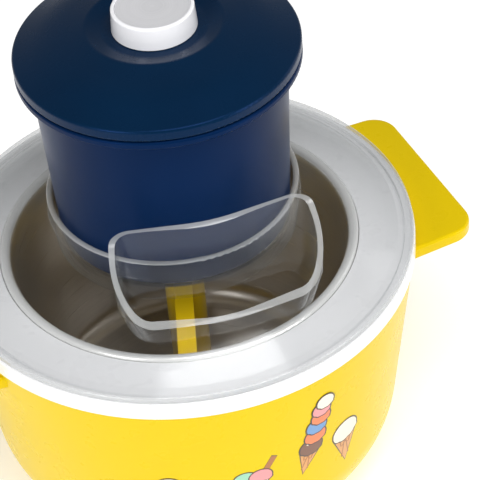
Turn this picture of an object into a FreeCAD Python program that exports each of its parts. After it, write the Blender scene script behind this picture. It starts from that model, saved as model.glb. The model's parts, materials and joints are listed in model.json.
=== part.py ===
import FreeCAD, Part
import math
import os
import Sketcher

# A freezer-bowl ice cream maker, in millimetres.
# +Z is up, the origin is on the table under the middle of the bowl, the
# ingredient chute faces -Y and the two handles lie along X.

doc = FreeCAD.newDocument("IceCreamMaker")
sheet = doc.addObject("Spreadsheet::Sheet", "Dims")

DIMENSIONS = {
    # housing: the yellow pot that holds the freezer bowl
    "rim_radius": 104.6, "rim_height": 118, "wall": 2.4, "foot_height": 4,
    "base_corner": 90.6, "base_round": 40, "base_wall": 3,
    "handle_reach": 126.6, "handle_half_tip": 46, "handle_half_root": 48, "handle_top": 115,
    "handle_thick": 6.5, "handle_corner": 12, "handle_edge": 1.4,
    "foot_radius": 8, "foot_ring": 46, "foot_peg": 3,
    # freezer bowl: white shell and ring, aluminium liner
    "ring_gap": 0.3, "ring_radius": 105.3, "ring_top": 126.6, "ring_round": 1.4,
    "ring_inner": 80.4, "shell_top": 91.5, "shell_foot": 76.1, "shell_round": 27, "shell_bottom": 9,
    "ledge_height": 121.6, "ledge_inner": 77.4, "ledge_thick": 2.2, "ledge_root": 83,
    "plug_radius": 7, "plug_flange": 10, "plug_thick": 1.6,
    "liner_wall": 1.2, "liner_floor": 24, "liner_foot": 70.4, "liner_mouth": 74.2,
    "liner_shoulder": 121, "liner_round": 10, "lip_radius": 80.2, "lip_top": 128.0,
    "lip_start": 76.2, "lip_drop": 3.8, "pivot_radius": 5, "pivot_height": 6,
    "gel_gap": 0.3, "gel_top": 112, "seal_inner": 77.6, "seal_outer": 78.9, "seal_top": 126.5,
    # paddle
    "paddle_angle": 72.8, "paddle_top": 117, "paddle_low": 25.4, "paddle_thick": 4,
    "paddle_reach_top": 72.4, "paddle_reach_low": 69.0, "paddle_round": 11,
    "hub_radius": 9, "hub_top": 131, "arm_width": 8, "arm_flange": 2.5, "arm_deep": 8,
    "blade_width": 12, "window_round": 6, "middle_bar": 70, "bar_half": 3,
    "socket_side": 7, "socket_depth": 21, "pivot_play": 0.06,
    # lid with its motor socket and chute
    "lid_angle": -6.2, "lid_radius": 104.7, "lid_low": 126.9, "lid_edge": 2.1, "lid_wall": 2.1,
    "dome_mid_radius": 84, "dome_mid_top": 141.2, "dome_round": 110,
    "collar_outer": 55.4, "collar_inner": 52.6, "collar_root": 150.5, "collar_top": 159.2,
    "seat_radius": 51.4, "seat_height": 142.7, "seat_inner": 45.5, "seat_thick": 2.2,
    "skirt_outer": 53.7, "skirt_inner": 51.5, "skirt_low": 137.5,
    "chute_wall": 2.2, "chute_back_top": 183.5, "chute_front_top": 147.6, "chute_shift": 4,
    "chute_back_mid": 60.2, "chute_back_side": 54, "chute_front_mid": 84.5,
    "chute_front_side": 80, "chute_half_back": 41, "chute_half_front": 50,
    "chute_corner": 13, "chute_sweep": 90, "chute_low": 134, "chute_knee": 154, "chute_high": 188,
    "chute_low_inset": 9, "chute_knee_inset": 2,
    # motor unit shell
    "can_low": 143, "can_foot": 50.8, "can_top": 54.2, "can_high": 224,
    "disc_radius": 60.2, "flange_thick": 3.8, "seam": 0.5, "cover_edge": 233.2,
    "crest_radius": 28.8, "crest_height": 243.2, "dish_radius": 22, "dish_height": 241.2,
    "cover_mid": 45, "cover_mid_height": 239.6, "cover_wall": 2.4, "spigot_outer": 51.5,
    "spigot_drop": 7,
    "base_radius": 48.2, "base_low": 143.2, "base_high": 147.6, "base_boss": 12,
    "boss_low": 136, "boss_high": 150, "post_radius": 4, "post_ring": 40,
    "screw_ring": 44.4, "screw_boss": 5.2, "screw_boss_top": 158.5,
    "screw_head": 3, "screw_sink": 2.2,
    "plate_low": 168, "plate_high": 170, "plate_radius": 46.5,
    # gear train
    "gear_play": 0.10, "drive_low": 151, "drive_high": 157.5, "wheel_low": 160, "wheel_high": 165,
    "coarse_module": 1.0, "fine_module": 0.8, "axle_radius": 2, "axle_play": 0.05,
    "shaft_radius": 4, "shaft_play": 0.05, "shaft_high": 158.5, "square_side": 6.6,
    "square_high": 131.6, "square_low": 112, "bush_outer": 7,
    "clip_radius": 7, "clip_low": 134.6, "clip_high": 135.5,
    # synchronous motor
    "stator_radius": 27, "stator_high": 192, "stator_wall": 1.5, "coil_outer": 24, "coil_inner": 14.5,
    "magnet_radius": 12, "magnet_low": 174, "magnet_high": 188, "rotor_shaft": 1.5,
    "ear_reach": 33, "ear_half": 4, "cord_height": 206, "cord_hole": 6.5, "cord_bore": 3.5,
    "grommet_flange": 9, "grommet_thick": 2,
    # knob and switch
    "knob_radius": 17.9, "knob_low": 241.6, "knob_top": 251.6, "knob_draft": 0.7,
    "knob_wall": 2.2, "insert_radius": 15.7, "insert_deep": 0.5, "insert_thick": 1.2,
    "spindle_radius": 3, "spindle_low": 228, "spindle_high": 247.5, "switch_side": 22,
    "switch_low": 222, "switch_high": 238.6, "neck_radius": 4.4, "nut_radius": 6.4, "nut_thick": 1.6,
}

DRIVE_TEETH = 40
IDLER_PINION_TEETH = 10
IDLER_WHEEL_TEETH = 48
ROTOR_TEETH = 12
IDLER_DIRECTION = 135
ROTOR_DIRECTION = 0
HANDLE_DIRECTION = 3.3
POST_ANGLES = (-115, -65, 0, 175)
SCREW_ANGLES = (45, 135, 225, 315)

for row, (alias, value) in enumerate(DIMENSIONS.items(), start=1):
    sheet.set(f"A{row}", alias)
    sheet.set(f"B{row}", str(value))
    sheet.setAlias(f"B{row}", alias)
doc.recompute()


class Dim:
    """A size that carries both its number and the expression that drives it."""

    def __init__(self, text, value):
        self.text = text
        self.value = value

    def mixed(self, sign, other, value):
        return Dim(f"({self.text} {sign} {other.text})", value)

    def __add__(self, other):
        other = as_dim(other)
        return self.mixed("+", other, self.value + other.value)

    def __radd__(self, other):
        return as_dim(other) + self

    def __sub__(self, other):
        other = as_dim(other)
        return self.mixed("-", other, self.value - other.value)

    def __mul__(self, other):
        other = as_dim(other)
        return self.mixed("*", other, self.value * other.value)

    def __neg__(self):
        return as_dim(0) - self


def as_dim(size):
    return size if isinstance(size, Dim) else Dim(str(size), float(size))


class Sizes:
    """Reads a spreadsheet cell by its alias."""

    def __getattr__(self, alias):
        return Dim("Dims." + alias, float(DIMENSIONS[alias]))


S = Sizes()
ZERO = as_dim(0)


def bind(thing, sizes):
    for path, size in sizes.items():
        thing.setExpression(path, as_dim(size).text)


def place(thing, x=ZERO, y=ZERO, z=ZERO):
    bind(thing, {"Placement.Base.x": x, "Placement.Base.y": y, "Placement.Base.z": z})
    return thing


# --- sketches ---------------------------------------------------------------

def origin_plane(body, role):
    return next(item for item in body.Origin.OriginFeatures if item.Role == role)


def new_sketch(body, name, role="XZ_Plane", offset=None):
    sketch = body.newObject("Sketcher::SketchObject", name)
    sketch.AttachmentSupport = (origin_plane(body, role), [""])
    sketch.MapMode = "FlatFace"
    if offset is not None:
        sketch.setExpression("AttachmentOffset.Base.z", as_dim(offset).text)
    return sketch


def hold(sketch, kind, *where, size):
    index = sketch.addConstraint(Sketcher.Constraint(kind, *where, size.value))
    sketch.setExpression(f"Constraints[{index}]", size.text)


def pin_point(sketch, geometry, end, x, y):
    hold(sketch, "DistanceX", -1, 1, geometry, end, size=x)
    hold(sketch, "DistanceY", -1, 1, geometry, end, size=y)


def circle(sketch, radius, x=ZERO, y=ZERO):
    middle = FreeCAD.Vector(x.value, y.value, 0)
    index = sketch.addGeometry(Part.Circle(middle, FreeCAD.Vector(0, 0, 1), radius.value))
    pin_point(sketch, index, 3, x, y)
    hold(sketch, "Radius", index, size=radius)


def outline(sketch, corners):
    """Draw a closed loop through corners (x, y) or (x, y, rounding radius)."""
    corners = [tuple(as_dim(size) for size in corner) for corner in corners]
    count = len(corners)
    spots = [FreeCAD.Vector(corner[0].value, corner[1].value, 0) for corner in corners]
    entries, leaves, arcs = [], [], []
    for i, corner in enumerate(corners):
        before = (spots[i - 1] - spots[i]).normalize()
        after = (spots[(i + 1) % count] - spots[i]).normalize()
        if len(corner) < 3:
            entries.append(spots[i])
            leaves.append(spots[i])
            arcs.append(None)
            continue
        radius = corner[2].value
        half = before.getAngle(after) / 2
        reach = radius / math.tan(half)
        entries.append(spots[i] + before * reach)
        leaves.append(spots[i] + after * reach)
        middle = spots[i] + (before + after).normalize() * (radius / math.sin(half))
        left_turn = after.cross(before).z > 0
        first, last = (entries[i], leaves[i]) if left_turn else (leaves[i], entries[i])
        angles = [math.atan2(spot.y - middle.y, spot.x - middle.x) for spot in (first, last)]
        whole = Part.Circle(middle, FreeCAD.Vector(0, 0, 1), radius)
        arcs.append((Part.ArcOfCircle(whole, angles[0], angles[1]), left_turn))
    lines = []
    for i in range(count):
        side = Part.LineSegment(leaves[i], entries[(i + 1) % count])
        lines.append(sketch.addGeometry(side))
    for i, corner in enumerate(corners):
        before, after = lines[i - 1], lines[i]
        if arcs[i] is None:
            sketch.addConstraint(Sketcher.Constraint("Coincident", before, 2, after, 1))
            pin_point(sketch, after, 1, corner[0], corner[1])
            continue
        shape, left_turn = arcs[i]
        arc = sketch.addGeometry(shape)
        first, last = (1, 2) if left_turn else (2, 1)
        sketch.addConstraint(Sketcher.Constraint("Tangent", before, 2, arc, first))
        sketch.addConstraint(Sketcher.Constraint("Tangent", after, 1, arc, last))
        tip = sketch.addGeometry(Part.Point(spots[i]), True)
        sketch.addConstraint(Sketcher.Constraint("PointOnObject", tip, 1, before))
        sketch.addConstraint(Sketcher.Constraint("PointOnObject", tip, 1, after))
        pin_point(sketch, tip, 1, corner[0], corner[1])
        hold(sketch, "Radius", arc, size=corner[2])


def rectangle(sketch, half_x, half_y, x=ZERO, y=ZERO):
    outline(sketch, [(x - half_x, y - half_y), (x + half_x, y - half_y),
                     (x + half_x, y + half_y), (x - half_x, y + half_y)])


# --- features ---------------------------------------------------------------

def new_body(name):
    return doc.addObject("PartDesign::Body", name)


def turned(name, corners, body=None, kind="Revolution"):
    """Revolve a section in the XZ plane about the upright axis."""
    body = body or new_body(name)
    sketch = new_sketch(body, name + "_section")
    outline(sketch, corners)
    turn = body.newObject("PartDesign::" + kind, name + "_turn")
    turn.Profile = sketch
    turn.ReferenceAxis = (sketch, ["V_Axis"])
    turn.Angle = 360
    sketch.Visibility = False
    doc.recompute()
    return body


def prism(body, name, low, high, draw, kind="Pad"):
    """Pad upward from low to high, or pocket downward from high to low."""
    start = low if kind == "Pad" else high
    sketch = new_sketch(body, name + "_plan", "XY_Plane", start)
    draw(sketch)
    feature = body.newObject("PartDesign::" + kind, name)
    feature.Profile = sketch
    bind(feature, {"Length": as_dim(high) - low})
    doc.recompute()
    return feature


def around(body, name, feature, count):
    pattern = body.newObject("PartDesign::PolarPattern", name)
    pattern.Originals = [feature]
    pattern.Axis = (feature.Profile[0], ["N_Axis"])
    pattern.Angle = 360
    pattern.Occurrences = count
    body.Tip = pattern
    doc.recompute()


def soften(body, name, radius, chosen):
    """Fillet the edges of the body's tip that chosen accepts."""
    tip = body.Tip
    names = [f"Edge{i}" for i, edge in enumerate(tip.Shape.Edges, 1) if chosen(edge)]
    fillet = body.newObject("PartDesign::Fillet", name)
    fillet.Base = (tip, names)
    bind(fillet, {"Radius": radius})
    doc.recompute()


def cylinder(name, radius, low, high, x=ZERO, y=ZERO):
    thing = doc.addObject("Part::Cylinder", name)
    bind(thing, {"Radius": radius, "Height": as_dim(high) - low})
    return place(thing, x, y, as_dim(low))


def block(name, size_x, size_y, low, high, x=ZERO, y=ZERO):
    thing = doc.addObject("Part::Box", name)
    bind(thing, {"Length": size_x, "Width": size_y, "Height": as_dim(high) - low})
    return place(thing, x - as_dim(size_x) * 0.5, y - as_dim(size_y) * 0.5, as_dim(low))


def cut(name, base, tool):
    thing = doc.addObject("Part::Cut", name)
    thing.Base = base
    thing.Tool = tool
    return thing


def fuse(name, pieces):
    thing = doc.addObject("Part::MultiFuse", name)
    thing.Shapes = pieces
    return thing


def group(name, pieces):
    thing = doc.addObject("Part::Compound", name)
    thing.Links = pieces
    return thing


def polar(radius, degrees):
    return (radius * math.cos(math.radians(degrees)), radius * math.sin(math.radians(degrees)))


# --- housing ----------------------------------------------------------------

def housing_shell():
    """A tapered pot with a rounded foot and two flat handles, set a little behind its middle."""
    body = turned("housing_shell", [
        (ZERO, S.foot_height), (S.base_corner, S.foot_height, S.base_round),
        (S.rim_radius, S.rim_height), (ZERO, S.rim_height)])

    for name, side in (("right_handle", 1), ("left_handle", -1)):
        def turned_back(x, y):
            along, across = polar(1, HANDLE_DIRECTION)
            return ((x * along - y * across) * side, x * across + y * along)

        def handle_plan(sketch):
            half = S.handle_half_tip
            root = S.rim_radius * 0.8
            outline(sketch, [
                turned_back(root, -S.handle_half_root), turned_back(S.handle_reach, -half) + (S.handle_corner,),
                turned_back(S.handle_reach, half) + (S.handle_corner,), turned_back(root, S.handle_half_root)])

        prism(body, name, S.handle_top - S.handle_thick, S.handle_top, handle_plan)
    tip_reach = S.rim_radius.value + 3
    soften(body, "handle_edges", S.handle_edge,
           lambda edge: edge.BoundBox.ZLength < 0.01
           and abs(edge.CenterOfMass.x) > tip_reach
           and max(abs(edge.BoundBox.XMax), abs(edge.BoundBox.XMin)) > S.handle_reach.value - 8)
    inner = S.foot_height + S.base_wall
    turned("housing_cavity", [
        (ZERO, inner), (S.base_corner - S.wall, inner, S.base_round - S.wall),
        (S.rim_radius - S.wall, S.rim_height), (S.rim_radius - S.wall, S.rim_height + 5),
        (ZERO, S.rim_height + 5)], body, "Groove")
    peg_x, peg_y = (S.foot_ring * math.sqrt(0.5), S.foot_ring * math.sqrt(0.5))
    hole = prism(body, "foot_hole", ZERO, inner + 1,
                 lambda sketch: circle(sketch, S.foot_peg, peg_x, peg_y), "Pocket")
    around(body, "foot_holes", hole, 4)
    return body


def rubber_feet():
    feet = []
    for number, angle in enumerate((45, 135, 225, 315), start=1):
        x, y = polar(S.foot_ring, angle)
        pad = cylinder(f"foot_pad_{number}", S.foot_radius, ZERO, S.foot_height, x, y)
        peg = cylinder(f"foot_peg_{number}", S.foot_peg, S.foot_height - 1,
                       S.foot_height + S.base_wall, x, y)
        feet.append(fuse(f"foot_{number}", [pad, peg]))
    return group("rubber_feet", feet)


# --- freezer bowl -----------------------------------------------------------

def bowl_shell():
    """White outer wall of the freezer bowl, with the broad ring round its mouth."""
    under = S.rim_height + S.ring_gap
    plate = S.ring_top - S.wall
    return turned("bowl_shell", [
        (S.plug_radius, S.shell_bottom), (S.shell_foot, S.shell_bottom, S.shell_round),
        (S.shell_top, under), (S.shell_top, plate), (S.ring_radius - S.wall, plate),
        (S.ring_radius - S.wall, under), (S.ring_radius, under),
        (S.ring_radius, S.ring_top, S.ring_round), (S.ring_inner, S.ring_top, as_dim(0.6)),
        (S.ring_inner, S.ledge_height), (S.ledge_inner, S.ledge_height),
        (S.ledge_inner, S.ledge_height - S.ledge_thick), (S.ledge_root, S.ledge_height - S.ledge_thick),
        (S.ledge_root, plate), (S.shell_top - S.wall, plate),
        (S.shell_foot - S.wall, S.shell_bottom + S.wall, S.shell_round - S.wall),
        (S.plug_radius, S.shell_bottom + S.wall)])


def bowl_liner():
    """Pressed aluminium bowl with a rolled lip and a pivot boss for the paddle."""
    gauge = S.liner_wall
    floor = S.liner_floor
    return turned("bowl_liner", [
        (ZERO, floor - gauge), (S.liner_foot + gauge, floor - gauge, S.liner_round + gauge),
        (S.liner_mouth + gauge, S.liner_shoulder, as_dim(20)),
        (S.lip_start + gauge, S.lip_top - gauge, as_dim(1.5)),
        (S.lip_radius - gauge, S.lip_top - gauge),
        (S.lip_radius - gauge, S.lip_top - S.lip_drop), (S.lip_radius, S.lip_top - S.lip_drop),
        (S.lip_radius, S.lip_top, as_dim(1.4)), (S.lip_start, S.lip_top, as_dim(2.7)),
        (S.liner_mouth, S.liner_shoulder, as_dim(20)), (S.liner_foot, floor, S.liner_round),
        (S.pivot_radius, floor), (S.pivot_radius, floor + S.pivot_height, as_dim(1)),
        (ZERO, floor + S.pivot_height)])


def coolant_gel():
    """The sealed freezing liquid between the liner and the shell."""
    plate = S.ring_top - S.wall
    shell_slope = (S.shell_top.value - S.shell_foot.value) / (plate.value - S.shell_bottom.value - S.wall.value)
    liner_slope = (S.liner_mouth.value - S.liner_foot.value) / (S.liner_shoulder.value - S.liner_floor.value)
    outer = S.shell_top - S.wall - S.gel_gap - (plate - S.gel_top) * shell_slope
    inner = S.liner_mouth + S.liner_wall + S.gel_gap - (S.liner_shoulder - S.gel_top) * liner_slope
    low = S.shell_bottom + S.wall + S.gel_gap
    floor = S.liner_floor - S.liner_wall - S.gel_gap
    return turned("coolant_gel", [
        (S.plug_radius, low), (S.shell_foot - S.wall - S.gel_gap, low, S.shell_round - S.wall - S.gel_gap),
        (outer, S.gel_top), (inner, S.gel_top),
        (S.liner_foot + S.liner_wall + S.gel_gap, floor, S.liner_round + S.liner_wall + S.gel_gap),
        (ZERO, floor), (ZERO, low + 3), (S.plug_radius, low + 3)])


def bowl_rim_seal():
    return turned("bowl_rim_seal", [
        (S.seal_inner, S.ledge_height), (S.seal_outer, S.ledge_height),
        (S.seal_outer, S.seal_top), (S.seal_inner, S.seal_top)])


def bowl_fill_plug():
    """Closes the hole that the freezing liquid is filled through."""
    top = S.shell_bottom + S.wall
    return turned("bowl_fill_plug", [
        (ZERO, S.shell_bottom - S.plug_thick), (S.plug_flange, S.shell_bottom - S.plug_thick),
        (S.plug_flange, S.shell_bottom), (S.plug_radius, S.shell_bottom),
        (S.plug_radius, top), (ZERO, top)])


# --- paddle -----------------------------------------------------------------

def paddle():
    """A moulded frame whose blades sweep the liner, on a hub with a square socket."""
    body = new_body("paddle")
    frame = new_sketch(body, "frame_outline")
    round_ = S.paddle_round
    outline(frame, [
        (-S.paddle_reach_low, S.paddle_low, round_), (S.paddle_reach_low, S.paddle_low, round_),
        (S.paddle_reach_top, S.paddle_top, as_dim(2)), (-S.paddle_reach_top, S.paddle_top, as_dim(2))])
    plate = body.newObject("PartDesign::Pad", "frame_plate")
    plate.Profile = frame
    plate.Midplane = True
    bind(plate, {"Length": S.paddle_thick})
    doc.recompute()

    def flange_plan(sketch):
        rectangle(sketch, S.paddle_reach_top - 1.4, S.arm_width * 0.5)

    prism(body, "arm_flange", S.paddle_top - S.arm_flange, S.paddle_top, flange_plan)
    blade_inner = S.paddle_reach_low - S.blade_width
    spans = ((S.paddle_low + S.arm_deep, S.middle_bar - S.bar_half),
             (S.middle_bar + S.bar_half, S.paddle_top - S.arm_deep))
    for side in (-1, 1):
        for low, high in spans:
            window = new_sketch(body, "window_outline")
            near = (S.hub_radius + 3) * side
            far = blade_inner * side
            corners = [(near, low), (far, low), (far, high), (near, high)]
            outline(window, [corner + (S.window_round,) for corner in corners[::side]])
            pocket = body.newObject("PartDesign::Pocket", "window")
            pocket.Profile = window
            pocket.Midplane = True
            bind(pocket, {"Length": S.paddle_thick * 3})
            doc.recompute()
    prism(body, "hub", S.paddle_low, S.hub_top, lambda sketch: circle(sketch, S.hub_radius))
    prism(body, "square_socket", S.hub_top - S.socket_depth, S.hub_top,
          lambda sketch: rectangle(sketch, S.socket_side * 0.5, S.socket_side * 0.5), "Pocket")
    prism(body, "pivot_socket", S.paddle_low - 1, S.liner_floor + S.pivot_height + 0.3,
          lambda sketch: circle(sketch, S.pivot_radius + S.pivot_play), "Pocket")
    bind(body, {"Placement.Rotation.Angle": S.paddle_angle})
    return body


# --- lid --------------------------------------------------------------------

def lid():
    """Clear domed lid with a socket for the motor unit and an open chute."""
    wall = S.lid_wall
    body = turned("lid", [
        (S.lid_radius - 4, S.lid_low), (S.lid_radius, S.lid_low),
        (S.lid_radius, S.lid_low + S.lid_edge, as_dim(0.9)),
        (S.dome_mid_radius, S.dome_mid_top, S.dome_round), (S.collar_outer, S.collar_root, as_dim(1.5)),
        (S.collar_outer, S.collar_top, as_dim(1.2)), (S.collar_inner, S.collar_top, as_dim(1.2)),
        (S.seat_radius, S.seat_height), (S.seat_inner, S.seat_height),
        (S.seat_inner, S.seat_height - S.seat_thick), (S.skirt_inner, S.seat_height - S.seat_thick),
        (S.skirt_inner, S.skirt_low), (S.skirt_outer, S.skirt_low, as_dim(0.6)),
        (S.skirt_outer + 0.6, S.collar_root - wall * 1.2),
        (S.dome_mid_radius, S.dome_mid_top - wall * 1.1, S.dome_round)])
    shift = S.chute_shift
    levels = ((S.chute_low, S.chute_low_inset), (S.chute_knee, S.chute_knee_inset), (S.chute_high, ZERO))
    for name, shrink, kind in (("chute_block", ZERO, "AdditiveLoft"),
                               ("chute_throat", S.chute_wall, "SubtractiveLoft")):
        sections = []
        for level, inset in levels:
            section = new_sketch(body, name + "_section", "XY_Plane", level)
            corner = S.chute_corner - shrink
            front = S.chute_half_front - shrink - inset
            back = S.chute_half_back - shrink - inset * 0.6
            gap = shrink + inset * 0.3
            outline(section, [
                (shift - front, -S.chute_front_side + gap, corner),
                (shift, -S.chute_front_mid + gap, S.chute_sweep),
                (shift + front, -S.chute_front_side + gap, corner),
                (shift + back, -S.chute_back_side - shrink, corner * 0.7),
                (shift, -S.chute_back_mid - shrink, S.chute_sweep),
                (shift - back, -S.chute_back_side - shrink, corner * 0.7)])
            sections.append(section)
        loft = body.newObject("PartDesign::" + kind, name)
        loft.Profile = sections[0]
        loft.Sections = sections[1:]
        loft.Ruled = True
        doc.recompute()
        if kind == "AdditiveLoft":
            clear_under_dome(body)
            slope_the_rim(body)
    bind(body, {"Placement.Rotation.Angle": S.lid_angle})
    return body


def clear_under_dome(body):
    """Take away the part of the chute block that hangs below the dome."""
    low = S.chute_low - 5
    turned("under_dome", [
        (S.skirt_outer + 0.61, low), (S.lid_radius - 4, low), (S.lid_radius - 4, S.lid_low),
        (S.dome_mid_radius, S.dome_mid_top - S.lid_wall * 1.1, S.dome_round),
        (S.skirt_outer + 0.61, S.collar_root - S.lid_wall * 1.2)], body, "Groove")


def slope_the_rim(body):
    """Cut the top of the chute along a rim that falls towards the front."""
    side = new_sketch(body, "rim_slope", "YZ_Plane")
    out = S.chute_front_mid + 10
    outline(side, [
        (-out, S.chute_front_top), (-S.chute_front_mid + 3, S.chute_front_top, as_dim(6)),
        (-S.chute_back_mid - 0.5, S.chute_back_top, as_dim(6)), (-S.collar_outer + 25, S.chute_back_top),
        (-S.collar_outer + 25, S.chute_high + 5), (-out, S.chute_high + 5)])
    slope = body.newObject("PartDesign::Pocket", "rim_cut")
    slope.Profile = side
    slope.Midplane = True
    bind(slope, {"Length": S.chute_half_front * 3})
    doc.recompute()


# --- motor unit -------------------------------------------------------------

def motor_housing():
    """Blue tapered can with the flange that carries the cover."""
    body = turned("motor_housing", [
        (S.can_foot - S.wall, S.can_low), (S.can_foot, S.can_low, as_dim(2)), (S.can_top, S.can_high, as_dim(1.2)),
        (S.disc_radius, S.can_high, as_dim(1.2)), (S.disc_radius, S.can_high + S.flange_thick, as_dim(1.2)),
        (S.can_top - S.wall, S.can_high + S.flange_thick)])
    x, y = polar(S.screw_ring, SCREW_ANGLES[0])
    boss = prism(body, "screw_boss", S.base_high + 0.2, S.screw_boss_top,
                 lambda sketch: circle(sketch, S.screw_boss, x, y))
    around(body, "screw_bosses", boss, 4)
    hole = prism(body, "screw_hole", S.base_high, S.screw_boss_top - 2,
                 lambda sketch: circle(sketch, as_dim(1.5), x, y), "Pocket")
    around(body, "screw_holes", hole, 4)
    side = new_sketch(body, "cord_hole_plan", "XZ_Plane")
    circle(side, S.cord_hole, ZERO, S.cord_height)
    bore = body.newObject("PartDesign::Pocket", "cord_hole")
    bore.Profile = side
    bore.Reversed = False
    bind(bore, {"Length": S.disc_radius})
    doc.recompute()
    if bore.Shape.isInside(FreeCAD.Vector(0, S.can_top.value - 2, S.cord_height.value), 0.01, True):
        bore.Reversed = True
        doc.recompute()
    return body


def motor_cover():
    """Blue disc over the can, gently domed with a dish round the knob."""
    low = S.can_high + S.flange_thick + S.seam
    spigot_inner = S.spigot_outer - S.cover_wall
    return turned("motor_cover", [
        (S.neck_radius, S.dish_height - S.cover_wall), (S.crest_radius, S.crest_height - 3.2),
        (spigot_inner, S.cover_edge - 1), (spigot_inner, low - S.spigot_drop),
        (S.spigot_outer, low - S.spigot_drop), (S.spigot_outer, low),
        (S.disc_radius, low, as_dim(1)), (S.disc_radius, S.cover_edge, as_dim(1.6)),
        (S.cover_mid, S.cover_mid_height, as_dim(60)), (S.crest_radius, S.crest_height, as_dim(3)),
        (S.dish_radius, S.dish_height, as_dim(5)), (S.neck_radius, S.dish_height)])


def motor_base():
    """Floor of the motor unit, with the bearing boss and posts for the gear plate."""
    body = turned("motor_base", [
        (S.bush_outer, S.boss_low), (S.base_boss, S.boss_low, as_dim(1)), (S.base_boss, S.base_low),
        (S.base_radius, S.base_low), (S.base_radius, S.base_high), (S.bush_outer, S.base_high)])
    axle_x, axle_y = idler_spot()
    for number, angle in enumerate(POST_ANGLES, start=1):
        x, y = polar(S.post_ring, angle)
        prism(body, f"post_{number}", S.base_high, S.plate_low,
              lambda sketch: circle(sketch, S.post_radius, x, y))
        prism(body, f"post_hole_{number}", S.plate_low - 10, S.plate_low,
              lambda sketch: circle(sketch, as_dim(1.25), x, y), "Pocket")
    hole_x, hole_y = polar(S.screw_ring, SCREW_ANGLES[0])
    hole = prism(body, "clearance_hole", S.base_low - 1, S.base_high + 1,
                 lambda sketch: circle(sketch, as_dim(1.8), hole_x, hole_y), "Pocket")
    around(body, "clearance_holes", hole, 4)
    sink = prism(body, "head_recess", S.base_low - 1, S.base_low + S.screw_sink,
                 lambda sketch: circle(sketch, S.screw_head + 0.3, hole_x, hole_y), "Pocket")
    around(body, "head_recesses", sink, 4)
    prism(body, "axle_hole", S.base_low - 1, S.base_high + 1,
          lambda sketch: circle(sketch, S.axle_radius, axle_x, axle_y), "Pocket")
    return body


def gear_plate():
    """Steel plate over the gears, which the motor stands on."""
    body = new_body("gear_plate")
    rotor_x, rotor_y = rotor_spot()
    axle_x, axle_y = idler_spot()
    prism(body, "plate", S.plate_low, S.plate_high, lambda sketch: circle(sketch, S.plate_radius))
    holes = [(as_dim(7.5), rotor_x, rotor_y), (S.axle_radius, axle_x, axle_y)]
    holes += [(as_dim(1.6),) + polar(S.post_ring, angle) for angle in POST_ANGLES]
    holes += [(as_dim(1.5), rotor_x + S.ear_reach * side, rotor_y) for side in (-1, 1)]
    for number, (radius, x, y) in enumerate(holes, start=1):
        prism(body, f"plate_hole_{number}", S.plate_low - 1, S.plate_high + 1,
              lambda sketch: circle(sketch, radius, x, y), "Pocket")
    return body


def output_bush():
    return turned("output_bush", [
        (S.shaft_radius + S.shaft_play, S.boss_low), (S.bush_outer, S.boss_low),
        (S.bush_outer, S.boss_high), (S.shaft_radius + S.shaft_play, S.boss_high)])


def shaft_seal():
    """Rubber lip ring that keeps the mix off the bearing, round the boss."""
    return turned("shaft_seal", [
        (S.base_boss, S.boss_low + 0.5), (S.base_boss + 2.5, S.boss_low + 0.5, as_dim(0.8)),
        (S.base_boss + 2.5, S.boss_low + 4, as_dim(0.8)), (S.base_boss, S.boss_low + 4)])


def cord_grommet():
    """Rubber ring in the cord's inlet at the back of the motor unit."""
    body = new_body("cord_grommet")
    section = new_sketch(body, "grommet_section", "YZ_Plane")
    reach = S.can_top - 0.9
    back = reach - S.wall - S.grommet_thick - 1
    inner = back + S.grommet_thick
    top, high = S.cord_height, S.cord_height + S.cord_hole
    flange = S.cord_height + S.grommet_flange
    outline(section, [
        (back, top + S.cord_bore), (reach + S.grommet_thick, top + S.cord_bore),
        (reach + S.grommet_thick, flange, as_dim(0.8)), (reach + 0.7, flange), (reach + 0.7, high),
        (inner, high), (inner, flange), (back, flange)])
    axis = new_sketch(body, "grommet_axis", "YZ_Plane")
    index = axis.addGeometry(Part.LineSegment(FreeCAD.Vector(0, top.value, 0),
                                              FreeCAD.Vector(10, top.value, 0)))
    pin_point(axis, index, 1, ZERO, top)
    pin_point(axis, index, 2, as_dim(10), top)
    turn = body.newObject("PartDesign::Revolution", "grommet_turn")
    turn.Profile = section
    turn.ReferenceAxis = (axis, ["Edge1"])
    turn.Angle = 360
    doc.recompute()
    return body


def terminal_block():
    """Where the cord's cores meet the motor's leads, standing on the gear plate."""
    y = S.post_ring * -0.62
    base = block("terminal_base", as_dim(24), as_dim(12), S.plate_high, S.plate_high + 12, ZERO, y)
    slots = [block(f"terminal_slot_{i}", as_dim(5), as_dim(20), S.plate_high + 6, S.plate_high + 13,
                   as_dim(7.5 * i), y) for i in (-1, 0, 1)]
    return cut("terminal_block", base, fuse("terminal_slots", slots))


def screw_group(name, spots, head_low, up, head_radius, head_thick, shank_radius, shank_length):
    """Identical screws; up is the direction of the shank from the head, 1 or -1."""
    screws = []
    for number, (x, y) in enumerate(spots, start=1):
        head_high = head_low + head_thick
        head = cylinder(f"{name}_head_{number}", head_radius, head_low, head_high, x, y)
        low = head_low + 0.2 if up > 0 else head_low - shank_length
        high = head_high + shank_length if up > 0 else head_high - 0.2
        shank = cylinder(f"{name}_shank_{number}", shank_radius, low, high, x, y)
        slot = block(f"{name}_slot_{number}", head_radius * 1.4, as_dim(0.8),
                     head_low - 0.1 if up > 0 else head_high - 0.6,
                     head_low + 0.6 if up > 0 else head_high + 0.1, x, y)
        screws.append(cut(f"{name}_{number}", fuse(f"{name}_blank_{number}", [head, shank]), slot))
    return group(name, screws)


# --- gear train -------------------------------------------------------------

def idler_spot():
    distance = S.coarse_module * ((DRIVE_TEETH + IDLER_PINION_TEETH) / 2) + S.gear_play
    return polar(distance, IDLER_DIRECTION)


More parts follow.
